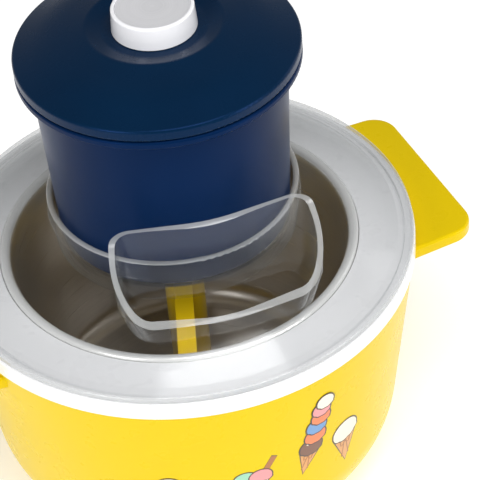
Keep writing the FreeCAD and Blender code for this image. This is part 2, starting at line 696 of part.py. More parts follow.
def rotor_spot():
    distance = S.fine_module * ((IDLER_WHEEL_TEETH + ROTOR_TEETH) / 2) + S.gear_play
    step_x, step_y = polar(distance, ROTOR_DIRECTION)
    x, y = idler_spot()
    return (x + step_x, y + step_y)


def meshed_phase(direction, phase, teeth, mate_teeth):
    """Turn of the mate, in degrees, that puts its gap on this gear's tooth."""
    pitch = 360 / teeth
    part_of_tooth = ((direction - phase) / pitch) % 1
    return direction + 180 - (0.5 - part_of_tooth) * (360 / mate_teeth)


def gear_blank(teeth, module, low, high, phase):
    """An involute spur gear with 20 degree flanks, about the upright axis."""
    pressure = math.radians(20)
    pitch_radius = module * teeth / 2
    base_radius = pitch_radius * math.cos(pressure)
    tip_radius = pitch_radius + module * 0.95
    root_radius = pitch_radius - module * 1.25
    backlash = 0.05 * module / pitch_radius
    involute_at_pitch = math.tan(pressure) - pressure
    half_tooth = math.pi / (2 * teeth) + involute_at_pitch - backlash
    flank = []
    start = max(base_radius, root_radius)
    for step in range(5):
        radius = start + (tip_radius - start) * step / 4
        roll = math.sqrt(max(radius ** 2 / base_radius ** 2 - 1, 0))
        flank.append((radius, max(half_tooth - (roll - math.atan(roll)), 0.15 / radius)))
    if root_radius < base_radius:
        flank.insert(0, (root_radius, half_tooth))
    points = []
    for tooth in range(teeth):
        middle = math.radians(phase) + 2 * math.pi * tooth / teeth
        angles = [(radius, middle - half) for radius, half in flank]
        angles += [(radius, middle + half) for radius, half in reversed(flank)]
        for radius, angle in angles:
            points.append(FreeCAD.Vector(radius * math.cos(angle), radius * math.sin(angle), low))
    face = Part.Face(Part.makePolygon(points + [points[0]]))
    return face.extrude(FreeCAD.Vector(0, 0, high - low))


def tube(outer, inner, low, high):
    start = FreeCAD.Vector(0, 0, low)
    return Part.makeCylinder(outer, high - low, start).cut(Part.makeCylinder(inner, high - low, start))


def gear_feature(name, shape, x=ZERO, y=ZERO):
    feature = doc.addObject("Part::Feature", name)
    feature.Shape = shape
    place(feature, x, y)
    return feature


def gear_train():
    """Drive gear on the shaft, stepped idler gear and the motor's pinion, in mesh."""
    size = {alias: float(value) for alias, value in DIMENSIONS.items()}
    coarse, fine = size["coarse_module"], size["fine_module"]
    drive_phase = size["paddle_angle"]
    pinion_phase = meshed_phase(IDLER_DIRECTION, drive_phase, DRIVE_TEETH, IDLER_PINION_TEETH)
    rotor_phase = meshed_phase(ROTOR_DIRECTION, 0, IDLER_WHEEL_TEETH, ROTOR_TEETH)

    low, high = size["drive_low"], size["drive_high"]
    drive = gear_blank(DRIVE_TEETH, coarse, low, high, drive_phase)
    bore = Part.makeCylinder(size["shaft_radius"], 30, FreeCAD.Vector(0, 0, low - 10))
    drive = drive.cut(bore).cut(tube(16.5, 8, high - 2, high + 1))

    axle = size["axle_radius"] + size["axle_play"]
    wheel = gear_blank(IDLER_WHEEL_TEETH, fine, size["wheel_low"], size["wheel_high"], 0)
    pinion = gear_blank(IDLER_PINION_TEETH, coarse, size["drive_low"] - 1, size["wheel_low"] + 0.5, pinion_phase)
    idler = wheel.cut(tube(17, 6.5, size["wheel_high"] - 1.5, size["wheel_high"] + 1)).fuse(pinion)
    idler = idler.fuse(Part.makeCylinder(4, 2, FreeCAD.Vector(0, 0, size["wheel_high"] - 0.2)))
    idler = idler.cut(Part.makeCylinder(axle, 40, FreeCAD.Vector(0, 0, size["drive_low"] - 10)))

    small = gear_blank(ROTOR_TEETH, fine, size["wheel_low"] - 0.5, size["plate_low"] - 1, rotor_phase)
    small = small.cut(Part.makeCylinder(size["rotor_shaft"], 20, FreeCAD.Vector(0, 0, size["wheel_low"] - 5)))
    return [gear_feature("drive_gear", drive), gear_feature("idler_gear", idler, *idler_spot()),
            gear_feature("rotor_pinion", small, *rotor_spot())]


def output_shaft():
    """Steel shaft with a square lower end that drops into the paddle's hub."""
    stem = cylinder("shaft_stem", S.shaft_radius, S.square_high, S.shaft_high)
    square = block("shaft_square", S.square_side, S.square_side, S.square_low, S.square_high + 2)
    turned_square = doc.addObject("Part::MultiCommon", "shaft_drive_end")
    turned_square.Shapes = [square, cylinder("shaft_corners", S.shaft_radius + 0.2, S.square_low,
                                             S.square_high + 0.2)]
    shaft = cut("output_shaft", fuse("shaft_blank", [stem, turned_square]), clip_groove())
    bind(shaft, {"Placement.Rotation.Angle": S.paddle_angle})
    return shaft


def clip_groove():
    outer = cylinder("groove_outer", S.shaft_radius + 2, S.clip_low, S.clip_high)
    inner = cylinder("groove_inner", S.shaft_radius - 0.8, S.clip_low - 1, S.clip_high + 1)
    return cut("clip_groove", outer, inner)


def retaining_clip():
    """Open spring clip that sits in the shaft's groove under the bush."""
    ring = cylinder("clip_ring", S.clip_radius, S.clip_low, S.clip_high)
    hole = cylinder("clip_hole", S.shaft_radius - 0.8, S.clip_low - 1, S.clip_high + 1)
    mouth = block("clip_mouth", as_dim(10), as_dim(5.6), S.clip_low - 1, S.clip_high + 1, as_dim(5))
    return cut("retaining_clip", ring, fuse("clip_opening", [hole, mouth]))


def idler_axle():
    x, y = idler_spot()
    return cylinder("idler_axle", S.axle_radius, S.base_low, S.plate_high, x, y)


# --- synchronous motor ------------------------------------------------------

def at_rotor(body):
    return place(body, *rotor_spot())


def stator_can():
    """Lower cup of the motor, with two ears for its screws."""
    body = turned("stator_can", [
        (as_dim(7), S.plate_high), (S.stator_radius, S.plate_high),
        (S.stator_radius, S.stator_high - S.stator_wall), (S.stator_radius - S.stator_wall, S.stator_high - S.stator_wall),
        (S.stator_radius - S.stator_wall, S.plate_high + S.stator_wall), (as_dim(7), S.plate_high + S.stator_wall)])
    high = S.plate_high + S.stator_wall

    for number, side in enumerate((1, -1), start=1):
        prism(body, f"ear_{number}", S.plate_high, high,
              lambda sketch: rectangle(sketch, as_dim(5), S.ear_half, (S.ear_reach - 0.5) * side))
        prism(body, f"ear_hole_{number}", S.plate_high - 1, high + 1,
              lambda sketch: circle(sketch, as_dim(1.5), S.ear_reach * side), "Pocket")
    return at_rotor(body)


def stator_cap():
    low = S.stator_high - S.stator_wall
    bush = S.rotor_shaft + S.shaft_play
    return at_rotor(turned("stator_cap", [
        (bush, low), (S.stator_radius, low), (S.stator_radius, S.stator_high, as_dim(0.8)),
        (as_dim(5), S.stator_high), (as_dim(5), S.stator_high + 2), (bush, S.stator_high + 2)]))


def stator_coil():
    low, high = S.plate_high + S.stator_wall + 0.3, S.stator_high - S.stator_wall - 0.3
    return at_rotor(turned("stator_coil", [
        (S.coil_inner, low), (S.coil_outer, low), (S.coil_outer, low + 1.5), (S.coil_outer - 2, low + 1.5),
        (S.coil_outer - 2, high - 1.5), (S.coil_outer, high - 1.5), (S.coil_outer, high), (S.coil_inner, high)]))


def rotor_magnet():
    return at_rotor(turned("rotor_magnet", [
        (S.rotor_shaft, S.magnet_low), (S.magnet_radius, S.magnet_low, as_dim(0.8)),
        (S.magnet_radius, S.magnet_high, as_dim(0.8)), (S.rotor_shaft, S.magnet_high)]))


def rotor_shaft():
    return at_rotor(turned("rotor_shaft", [
        (ZERO, S.wheel_low - 1), (S.rotor_shaft, S.wheel_low - 1), (S.rotor_shaft, S.stator_high + 1.5),
        (ZERO, S.stator_high + 1.5)]))


# --- switch and knob --------------------------------------------------------

def switch_body():
    """Rotary on-off switch hung under the cover by its threaded neck."""
    case = block("switch_case", S.switch_side, S.switch_side, S.switch_low, S.switch_high - 2)
    neck = cylinder("switch_neck", S.neck_radius - 0.1, S.switch_high - 3, S.dish_height + S.nut_thick + 0.6)
    bore = cylinder("switch_bore", S.spindle_radius + S.shaft_play, S.spindle_low - 0.5, S.knob_top)
    return cut("switch_body", fuse("switch_blank", [case, neck]), bore)


def switch_nut():
    body = new_body("switch_nut")

    def hexagon(sketch):
        outline(sketch, [polar(S.nut_radius, 60 * corner) for corner in range(6)])

    low = S.dish_height
    prism(body, "nut_blank", low, low + S.nut_thick, hexagon)
    prism(body, "nut_thread", low - 1, low + S.nut_thick + 1,
          lambda sketch: circle(sketch, S.neck_radius - 0.1), "Pocket")
    return body


def switch_spindle():
    return cylinder("switch_spindle", S.spindle_radius, S.spindle_low, S.spindle_high)


def knob_ring():
    """White cup-shaped knob with a shallow recess on top and a boss for the spindle."""
    recess = S.insert_deep + S.insert_thick
    roof = S.knob_top - recess
    tip = S.knob_radius - S.knob_draft
    return turned("knob_ring", [
        (S.spindle_radius, S.dish_height + S.nut_thick + 1.2), (as_dim(7.5), S.dish_height + S.nut_thick + 1.2),
        (as_dim(7.5), roof - S.knob_wall), (S.knob_radius - S.knob_wall, roof - S.knob_wall),
        (S.knob_radius - S.knob_wall, S.knob_low), (S.knob_radius, S.knob_low),
        (tip, S.knob_top, as_dim(0.9)), (S.insert_radius, S.knob_top, as_dim(0.3)), (S.insert_radius, roof),
        (ZERO, roof), (ZERO, S.spindle_high), (S.spindle_radius, S.spindle_high)])


def knob_insert():
    top = S.knob_top - S.insert_deep
    return turned("knob_insert", [
        (ZERO, top - S.insert_thick), (S.insert_radius, top - S.insert_thick),
        (S.insert_radius, top, as_dim(0.4)), (ZERO, top)])


# --- assembly ---------------------------------------------------------------

def all_parts():
    parts = [housing_shell(), rubber_feet()]
    parts += [bowl_shell(), bowl_liner(), coolant_gel(), bowl_rim_seal(), bowl_fill_plug(), paddle(), lid()]
    parts += [motor_housing(), motor_cover(), motor_base(), gear_plate(), output_bush(), shaft_seal()]
    parts += [cord_grommet(), terminal_block(), idler_axle(), stator_can(), stator_cap(), stator_coil()]
    base_spots = [polar(S.screw_ring, angle) for angle in SCREW_ANGLES]
    parts.append(screw_group("base_screws", base_spots, S.base_low + 0.3, 1, S.screw_head, S.screw_sink - 0.3,
                             as_dim(1.5), as_dim(10.5)))
    plate_spots = [polar(S.post_ring, angle) for angle in POST_ANGLES]
    parts.append(screw_group("plate_screws", plate_spots, S.plate_high, -1, as_dim(2.6), as_dim(1.6),
                             as_dim(1.25), as_dim(9)))
    rotor_x, rotor_y = rotor_spot()
    ear_spots = [(rotor_x + S.ear_reach * side, rotor_y) for side in (-1, 1)]
    parts.append(screw_group("motor_screws", ear_spots, S.plate_high + S.stator_wall, -1, as_dim(2.6),
                             as_dim(1.6), as_dim(1.5), as_dim(5)))
    parts += gear_train()
    parts += [output_shaft(), retaining_clip(), rotor_magnet(), rotor_shaft()]
    parts += [switch_body(), switch_nut(), switch_spindle(), knob_ring(), knob_insert()]
    return parts


parts = all_parts()
doc.recompute()
for thing in doc.Objects:
    if "Invalid" in thing.State or "Error" in thing.State:
        raise RuntimeError(f"{thing.Label} failed: {thing.State}")
for part in parts:
    if part.Shape.isNull() or not part.Shape.isValid() or not part.Shape.Solids:
        raise RuntimeError(f"{part.Label} has no valid solid")
os.makedirs("parts", exist_ok=True)
for part in parts:
    part.Shape.exportStep(f"parts/{part.Label}.step")
    print(part.Label, len(part.Shape.Solids), round(part.Shape.Volume), [round(v, 1) for v in (
        part.Shape.BoundBox.ZMin, part.Shape.BoundBox.ZMax, part.Shape.BoundBox.XLength)])
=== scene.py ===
import json
import math

import bmesh
import bpy
from mathutils import Matrix, Vector


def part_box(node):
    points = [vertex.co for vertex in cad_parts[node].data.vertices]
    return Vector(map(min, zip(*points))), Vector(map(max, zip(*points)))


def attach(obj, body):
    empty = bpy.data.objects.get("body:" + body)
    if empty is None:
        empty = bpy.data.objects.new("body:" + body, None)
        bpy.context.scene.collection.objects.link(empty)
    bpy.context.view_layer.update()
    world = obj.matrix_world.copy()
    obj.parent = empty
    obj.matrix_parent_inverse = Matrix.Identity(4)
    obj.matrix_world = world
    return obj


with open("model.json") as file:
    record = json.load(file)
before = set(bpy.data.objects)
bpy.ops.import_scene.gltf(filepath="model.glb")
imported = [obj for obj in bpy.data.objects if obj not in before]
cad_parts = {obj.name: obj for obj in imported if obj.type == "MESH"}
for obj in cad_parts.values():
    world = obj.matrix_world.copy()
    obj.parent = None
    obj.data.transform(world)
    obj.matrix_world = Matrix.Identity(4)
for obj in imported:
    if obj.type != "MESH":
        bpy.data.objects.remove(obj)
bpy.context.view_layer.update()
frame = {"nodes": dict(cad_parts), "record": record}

MM = 0.001
SCENE = bpy.context.scene
SCENE.view_settings.view_transform = "Standard"
WHITE = (1, 1, 1, 1)


# --- materials --------------------------------------------------------------

def tone(red, green, blue):
    """Screen colour, 0 to 255, to the linear value that a shader takes."""
    def linear(part):
        part /= 255
        return part / 12.92 if part <= 0.04045 else ((part + 0.055) / 1.055) ** 2.4
    return (linear(red), linear(green), linear(blue), 1.0)


def darker(colour, shade):
    return tuple(part * (1 - shade) for part in colour[:3]) + (1.0,)


class Shader:
    """A node material with a Principled shader, and short ways to add to it."""

    def __init__(self, name, **fixed):
        self.material = bpy.data.materials.new(name)
        self.material.use_nodes = True
        self.tree = self.material.node_tree
        self.main = self.tree.nodes["Principled BSDF"]
        for key, value in fixed.items():
            self.main.inputs[key.replace("_", " ")].default_value = value
        self.point = self.node("ShaderNodeTexCoord").outputs["Object"]

    def node(self, kind, inputs=None, **settings):
        made = self.tree.nodes.new(kind)
        for key, value in settings.items():
            setattr(made, key, value)
        for key, value in (inputs or {}).items():
            if isinstance(value, bpy.types.NodeSocket):
                self.tree.links.new(value, made.inputs[key])
            else:
                made.inputs[key].default_value = value
        return made

    def feed(self, socket, source):
        self.tree.links.new(source, self.main.inputs[socket])

    def noise(self, scale, detail=3, point=None):
        return self.node("ShaderNodeTexNoise", {
            "Vector": point or self.point, "Scale": scale, "Detail": detail}).outputs["Fac"]

    def spread(self, source, low, high, start=0.3, end=0.7):
        """Turn the stretch from start to end into the stretch from low to high."""
        return self.node("ShaderNodeMapRange", {
            "Value": source, "From Min": start, "From Max": end,
            "To Min": low, "To Max": high}).outputs["Result"]

    def maths(self, operation, first, second=0.0):
        return self.node("ShaderNodeMath", {0: first, 1: second}, operation=operation).outputs[0]

    def blend(self, factor, first, second):
        made = self.node("ShaderNodeMix", {"Factor": factor}, data_type="RGBA")
        for socket, value in ((made.inputs[6], first), (made.inputs[7], second)):
            if isinstance(value, bpy.types.NodeSocket):
                self.tree.links.new(value, socket)
            else:
                socket.default_value = value
        return made.outputs[2]

    def bump(self, height, distance, strength=1.0):
        made = self.node("ShaderNodeBump", {"Height": height, "Distance": distance, "Strength": strength})
        self.feed("Normal", made.outputs["Normal"])

    def axes(self, source):
        """The X, Y and Z parts of a vector."""
        return self.node("ShaderNodeSeparateXYZ", {0: source}).outputs

    def reach(self, place):
        """Distance from the upright axis."""
        squares = [self.maths("MULTIPLY", place[axis], place[axis]) for axis in (0, 1)]
        return self.maths("SQRT", self.maths("ADD", *squares))

    def turned_point(self, across, along):
        """Coordinates that change little round the upright axis, for lathe and brush lines."""
        place = self.axes(self.point)
        radius = self.reach(place)
        angle = self.maths("ARCTAN2", place[1], place[0])
        return self.node("ShaderNodeCombineXYZ", {
            0: self.maths("MULTIPLY", radius, across),
            1: self.maths("MULTIPLY", place[2], across),
            2: self.maths("MULTIPLY", angle, along)}).outputs[0]


CLOUD_SCALE = 22
GLOSS_SCALE = 95
RIPPLE_SCALE = 30
BLOTCH_SCALE = 28


def moulded(name, colour, rough=0.3, spread=0.06, grain=0.000008, grain_scale=900, shade=0.06, **fixed):
    """Moulded plastic: faint flow marks in the colour, uneven gloss and a fine skin."""
    made = Shader(name, **fixed)
    cloud = made.noise(CLOUD_SCALE, 4)
    made.feed("Base Color", made.blend(made.spread(cloud, 0, 1), darker(colour, shade), colour))
    made.feed("Roughness", made.spread(made.noise(GLOSS_SCALE, 5), rough - spread / 4, rough + spread / 4))
    ripple = made.noise(RIPPLE_SCALE, 1)
    skin = made.noise(grain_scale, 2)
    relief = made.maths("ADD", made.maths("MULTIPLY", ripple, 0.4), made.maths("MULTIPLY", skin, 0.5))
    made.bump(relief, grain)
    return made.material


def metal(name, colour, rough, lines, spread=0.12, depth=0.00001, along=0.0, shade=0.12, metallic=1.0):
    """Turned or brushed metal with lines round the axis, as a Shader that can be added to."""
    made = Shader(name, Metallic=metallic)
    line = made.noise(1.0, 4, made.turned_point(lines, along))
    blotch = made.noise(BLOTCH_SCALE, 4)
    streaks = made.maths("ADD", made.maths("MULTIPLY", line, 0.6), made.maths("MULTIPLY", blotch, 0.4))
    made.feed("Base Color", made.blend(made.spread(streaks, 0, 1, 0.35, 0.65), darker(colour, shade), colour))
    made.feed("Roughness", made.spread(line, rough - spread / 2, rough + spread / 2))
    made.bump(line, depth)
    return made


# The pale, less metallic band at the liner's lip starts within these radii and heights, in metres.
LIP_RADIUS = (0.0752, 0.0758)
LIP_HEIGHT = (0.1225, 0.124)


def bowl_metal():
    """Brushed inside, with a pale, less metallic and smoother band at the lip."""
    made = metal("bowl_metal", tone(208, 203, 196), 0.33, 900, depth=0.00002, along=1.2)
    place = made.axes(made.point)
    lip = made.maths("MULTIPLY", made.spread(made.reach(place), 0, 1, *LIP_RADIUS),
                     made.spread(place[2], 0, 1, *LIP_HEIGHT))
    brushed = made.main.inputs["Base Color"].links[0].from_socket
    rough = made.main.inputs["Roughness"].links[0].from_socket
    made.feed("Base Color", made.blend(lip, brushed, tone(232, 232, 230)))
    made.feed("Metallic", made.spread(lip, 1.0, 0.25, 0, 1))
    made.feed("Roughness", made.maths("MULTIPLY", rough, made.spread(lip, 1.0, 0.7, 0, 1)))
    return made.material


def speckled(name, colour, fleck, rough, scale=700, depth=0.00003, metallic=0.0):
    """Grainy stuff: rubber, sintered bronze, ferrite and zinc spangle."""
    made = Shader(name, Metallic=metallic)
    cells = made.node("ShaderNodeTexVoronoi", {"Vector": made.point, "Scale": scale}).outputs["Distance"]
    made.feed("Base Color", made.blend(made.spread(cells, 0, 1, 0.1, 0.7), fleck, colour))
    made.feed("Roughness", made.spread(made.noise(scale / 3, 4), rough - 0.08, rough + 0.08))
    made.bump(cells, depth)
    return made.material


# The lid's dome falls by this much of the radius. Its cut rims lie above the slope by the stretch
# given, and its outer edge is the ring of these radii, all in metres. The cut rims get a painted
# highlight, and the outer edge a grey band of painted shade for the shadow in the gap under it.
DOME_SLOPE = 0.325
CUT_RIM_RISE = (0.1708, 0.1716)
LOW_EDGE_RADIUS = (0.1035, 0.1042)
LEVEL_FACE = (0.35, 0.5)


def clear_plastic():
    """See-through moulding: clear face on and glossy. At a glance it is painted darker, as shade for
    refraction, and slightly pale, as painted edge light.
    """
    made = Shader("clear_lid", IOR=1.49)
    cloud = made.spread(made.noise(18), 0, 1)
    made.feed("Base Color", made.blend(cloud, tone(214, 217, 218), tone(232, 233, 232)))
    made.feed("Roughness", made.spread(made.noise(60), 0.03, 0.07))
    wave = made.node("ShaderNodeBump", {
        "Height": made.noise(26, 2), "Distance": 0.00005, "Strength": 0.5}).outputs[0]
    made.feed("Normal", wave)
    glance = made.node("ShaderNodeLayerWeight", {"Blend": 0.5}).outputs["Facing"]
    steep = made.maths("POWER", glance, 4.0)
    mirror = made.maths("ADD", made.maths("MULTIPLY", steep, 0.5), 0.022)
    place = made.axes(made.point)
    upward = made.axes(made.node("ShaderNodeNewGeometry").outputs["True Normal"])[2]
    out = made.reach(place)
    above_dome = made.maths("ADD", place[2], made.maths("MULTIPLY", out, DOME_SLOPE))
    # The level faces of the cut rims above the dome are painted pale: a painted highlight.
    cut_rim_painted_light = made.maths("MULTIPLY", made.spread(upward, 0, 1, *LEVEL_FACE),
                         made.spread(above_dome, 0, 0.36, *CUT_RIM_RISE))
    # A grey band at the outer edge: painted shade for the shadow in the gap under it.
    low_edge_painted_shade = made.spread(out, 0, 0.35, *LOW_EDGE_RADIUS)
    # Opaque pale shading mixed into the clear plastic: painted edge light at a glance and on the cut rims,
    # painted shade at the outer edge.
    painted_edge_light_and_shade = made.maths("MAXIMUM", made.maths("MAXIMUM", made.maths("MULTIPLY", steep, 0.3), cut_rim_painted_light), low_edge_painted_shade)
    gloss = made.node("ShaderNodeBsdfGlossy", {"Roughness": 0.12, "Normal": wave, "Color": WHITE}).outputs[0]
    painted_edge_mix = made.node("ShaderNodeMixShader", {0: painted_edge_light_and_shade})
    # At a glance the see-through colour is painted grey: painted shade for the dark edges of refraction.
    through = made.blend(made.maths("POWER", glance, 2.5), (0.985, 0.987, 0.988, 1), (0.5, 0.52, 0.53, 1))
    clear = made.node("ShaderNodeBsdfTransparent", {"Color": through}).outputs[0]
    made.tree.links.new(clear, painted_edge_mix.inputs[1])
    made.tree.links.new(made.main.outputs[0], painted_edge_mix.inputs[2])
    both = made.node("ShaderNodeMixShader", {0: mirror})
    made.tree.links.new(painted_edge_mix.outputs[0], both.inputs[1])
    made.tree.links.new(gloss, both.inputs[2])
    made.tree.links.new(both.outputs[0], made.tree.nodes["Material Output"].inputs["Surface"])
    return made.material


WIRE_PITCH = 0.5 * MM


def winding():
    """Turns of enamelled copper wire."""
    made = Shader("copper_coil", Metallic=0.9)
    turns = made.maths("SINE", made.maths("MULTIPLY", made.axes(made.point)[2], 2 * math.pi / WIRE_PITCH))
    stripe = made.spread(turns, 0, 1, -1, 1)
    made.feed("Base Color", made.blend(stripe, tone(118, 52, 22), tone(196, 112, 62)))
    made.feed("Roughness", made.spread(made.noise(300), 0.25, 0.4))
    made.bump(turns, 0.00012)
    return made.material


def frozen_gel():
    """Cloudy ice-blue gel."""
    made = Shader("freezing_gel", Subsurface_Weight=0.3, Subsurface_Radius=(0.01, 0.012, 0.015))
    cloud = made.spread(made.noise(60, 5), 0, 1)
    made.feed("Base Color", made.blend(cloud, tone(150, 195, 222), tone(206, 228, 240)))
    made.feed("Roughness", made.spread(made.noise(220), 0.3, 0.55))
    made.bump(made.noise(180, 5), 0.0004)
    return made.material


def make_materials():
    """One material for each slot of the CAD model."""
    return {
        "yellow_housing": moulded("yellow_housing", tone(226, 195, 1), 0.28, shade=0.03, IOR=1.3,
                                  Specular_Tint=(1.0, 0.86, 0.3, 1.0), Coat_Weight=0.03, Coat_Roughness=0.08),
        "black_rubber": speckled("black_rubber", tone(38, 38, 40), tone(24, 24, 25), 0.72, 900),
        "white_bowl": moulded("white_bowl", tone(240, 240, 241), 0.28, shade=0.015, Coat_Weight=0.3,
                              Coat_Roughness=0.05),
        "bowl_metal": bowl_metal(),
        "freezing_gel": frozen_gel(),
        "grey_rubber": speckled("grey_rubber", tone(150, 150, 152), tone(128, 128, 131), 0.6, 1000),
        "white_plug": moulded("white_plug", tone(226, 226, 226), 0.4),
        "yellow_paddle": moulded("yellow_paddle", tone(246, 206, 20), 0.32, Coat_Weight=0.2,
                                 Coat_Roughness=0.1),
        "clear_lid": clear_plastic(),
        "blue_can": moulded("blue_can", tone(4, 31, 66), 0.34, 0.05, 0.00003, 2600, 0.16,
                            Specular_Tint=(0.1, 0.25, 1.0, 1.0), IOR=1.22),
        "blue_cover": moulded("blue_cover", tone(6, 33, 58), 0.28, 0.08, 0.000025, 2600, 0.14,
                              Specular_Tint=(0.12, 0.28, 1.0, 1.0), IOR=1.3),
        "blue_base": moulded("blue_base", tone(16, 38, 100), 0.5, 0.1, 0.00004, 2000, 0.15),
        "zinc_plate": speckled("zinc_plate", tone(188, 192, 198), tone(160, 165, 174), 0.36, 260,
                               0.00001, 1.0),
        "bronze_bush": speckled("bronze_bush", tone(176, 138, 86), tone(132, 98, 56), 0.45, 2400,
                                0.00002, 1.0),
        "nylon": moulded("nylon", tone(232, 229, 214), 0.45, 0.1, 0.00002, 1800, 0.08,
                         Subsurface_Weight=0.08, Subsurface_Radius=(0.003, 0.003, 0.002)),
        "steel": metal("steel", tone(196, 197, 200), 0.28, 2600).material,
        "copper_coil": winding(),
        "black_plastic": moulded("black_plastic", tone(34, 34, 37), 0.48, 0.1, 0.00004, 2000),
        "brass_gear": metal("brass_gear", tone(206, 170, 98), 0.3, 2600).material,
        "ferrite": speckled("ferrite", tone(52, 52, 55), tone(36, 36, 38), 0.6, 1800, 0.00002),
        "white_knob": moulded("white_knob", tone(243, 243, 246), 0.22, shade=0.02, Coat_Weight=0.45,
                              Coat_Roughness=0.05),
        "spun_metal": metal("spun_metal", tone(226, 226, 229), 0.45, 2200, 0.08, 0.000004, shade=0.08,
                            metallic=0.3).material,
    }


MATERIALS = make_materials()
for part in frame["record"]["subparts"]:
    thing = frame["nodes"][part["node"]]
    thing.data.materials.clear()
    thing.data.materials.append(MATERIALS[part["material_slot"]])


# --- printed motifs on the pot ----------------------------------------------
# Plain cones, scoops and lollies of flat ink, drawn for this part.

POT_RIM_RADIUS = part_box("housing_shell")[1][1]
POT_RIM_HEIGHT = 118 * MM
# The wall widens by 14 mm over its 114 mm of height.
POT_TAPER = 14 / 114
INKS = {
    "ink_line": tone(52, 36, 34), "ink_cone": tone(216, 152, 84), "ink_waffle": tone(166, 100, 48),
    "ink_pink": tone(232, 146, 150), "ink_orange": tone(236, 120, 66), "ink_blue": tone(96, 146, 200),
    "ink_cream": tone(250, 238, 214), "ink_brown": tone(112, 66, 46), "ink_mint": tone(150, 208, 176),
    "ink_red": tone(208, 62, 62),
}
INK_MATERIALS = {
    name: moulded(name, colour, 0.34, 0.06, 0.00001, 1500, 0.08, Coat_Weight=0.3, Coat_Roughness=0.08)
    for name, colour in INKS.items()}
INK_NAMES = list(INKS)

# Thickness of the print, in millimetres: the lowest layer, each one above it, and the part sunk in
# the wall. No edge of a layer stays longer than the last figure, so that it follows the curve.
FIRST_INK, NEXT_INK, SUNK_INK, LONGEST_EDGE = 0.06, 0.012, 0.05, 2.6


def oval(x, y, radius, squash, count=36):
    turns = [2 * math.pi * i / count for i in range(count)]
    return [(x + radius * math.cos(turn), y + radius * squash * math.sin(turn)) for turn in turns]


def scoop(x, y, radius, count=48):
    """A ball with a frilled skirt along its lower edge."""
    ball = []
    for i in range(count):
        turn = 2 * math.pi * i / count
        frill = 0.07 * abs(math.sin(turn * 4.5)) if math.sin(turn) < -0.25 else 0
        ball.append((x + radius * (1.03 + frill) * math.cos(turn),
                     y + radius * (0.9 + frill) * math.sin(turn)))
    return ball


def bar(x0, y0, x1, y1, width):
    """A straight stroke."""
    long_x, long_y = x1 - x0, y1 - y0
    size = math.hypot(long_x, long_y)
    side_x, side_y = -long_y / size * width / 2, long_x / size * width / 2
    return [(x0 + side_x, y0 + side_y), (x0 - side_x, y0 - side_y),
            (x1 - side_x, y1 - side_y), (x1 + side_x, y1 + side_y)]


def grown(points, amount):
    """The same outline pushed out from its middle, for the dark line round it."""
    middle_x = sum(point[0] for point in points) / len(points)
    middle_y = sum(point[1] for point in points) / len(points)
    bigger = []
    for x, y in points:
        reach = math.hypot(x - middle_x, y - middle_y)
        grow = (reach + amount) / reach
        bigger.append((middle_x + (x - middle_x) * grow, middle_y + (y - middle_y) * grow))
    return bigger


def cone_shape(half, height):
    """A cone, point down, with a raised brim."""
    return [(-half, 0), (0, -height), (half, 0), (half * 0.92, half * 0.22), (-half * 0.92, half * 0.22)]


def cone_motif(size, scoops):
    """A waffle cone with a stack of scoops, as layers of (ink, outline)."""
    half, height = 4.6 * size, 13 * size
    cone = cone_shape(half, height)
    layers = [("ink_line", grown(cone, 0.75)), ("ink_cone", cone)]
    for step in (-0.55, 0.0, 0.55):
        across = half * step
        room = height * (1 - abs(step)) * 0.8
        layers.append(("ink_waffle", bar(across, 0, across * 0.1 + half * 0.32, -room, 0.42 * size)))
        layers.append(("ink_waffle", bar(-across, 0, -across * 0.1 - half * 0.32, -room, 0.42 * size)))
    radius = 5.0 * size
    for number, ink in enumerate(scoops):
        x = (0.5 if number % 2 else -0.35) * size * (number > 0)
        y = radius * 0.55 + number * radius * 1.32
        ball = scoop(x, y, radius)
        shine = oval(x - radius * 0.4, y + radius * 0.36, radius * 0.15, 0.7)
        layers += [("ink_line", grown(ball, 0.7)), (ink, ball), ("ink_cream", shine)]
        radius *= 0.95
    return layers


def lolly_motif(size, ink, dip):
    """A flat ice lolly on a stick, dipped in the second ink."""
    half, height = 4.4 * size, 15 * size
    top = [(half * math.cos(turn), height - half + half * math.sin(turn))
           for turn in [math.pi * i / 16 for i in range(17)]]
    body = [(half, 0)] + top + [(-half, 0)]
    band = [(half, height * 0.42)] + top + [(-half, height * 0.42)]
    stick = bar(0, -6 * size, 0, 0.5, 2.4 * size)
    layers = [("ink_line", grown(stick, 0.6)), ("ink_cream", stick),
              ("ink_line", grown(body, 0.75)), (ink, body), (dip, band)]
    for side in (-1, 1):
        groove = side * half * 0.42
        layers.append(("ink_cream", bar(groove, height * 0.2, groove, height * 0.72, 0.7 * size)))
    return layers


def tub_motif(size, inks):
    """A paper tub with two scoops and a wafer."""
    tub = [(-5 * size, 0), (-3.7 * size, -8 * size), (3.7 * size, -8 * size), (5 * size, 0)]
    wafer = bar(3 * size, 3 * size, 6.5 * size, 11 * size, 2 * size)
    layers = [("ink_line", grown(wafer, 0.5)), ("ink_waffle", wafer)]
    for side, ink in zip((-1, 1), inks):
        ball = scoop(side * 2.5 * size, 2.6 * size, 3.6 * size)
        layers += [("ink_line", grown(ball, 0.6)), (ink, ball)]
    layers += [("ink_line", grown(tub, 0.7)), ("ink_cream", tub)]
    for step in (-2.6, 0, 2.6):
        stripe = bar(step * size, -0.6 * size, step * 0.8 * size, -7.4 * size, 0.9 * size)
        layers.append(("ink_red", stripe))
    return layers


def flat_sheet(points):
    """The outline as a flat mesh of small triangles that face up."""
    sheet = bmesh.new()
    sheet.faces.new([sheet.verts.new((x * MM, y * MM, 0)) for x, y in points])
    bmesh.ops.triangulate(sheet, faces=sheet.faces[:])
    for _ in range(4):
        long_edges = [edge for edge in sheet.edges if edge.calc_length() > LONGEST_EDGE * MM]
        if not long_edges:
            break
        bmesh.ops.subdivide_edges(sheet, edges=long_edges, cuts=1)
        bmesh.ops.triangulate(sheet, faces=sheet.faces[:])
    if sum(face.normal.z for face in sheet.faces) < 0:
        bmesh.ops.reverse_faces(sheet, faces=sheet.faces[:])
    return sheet


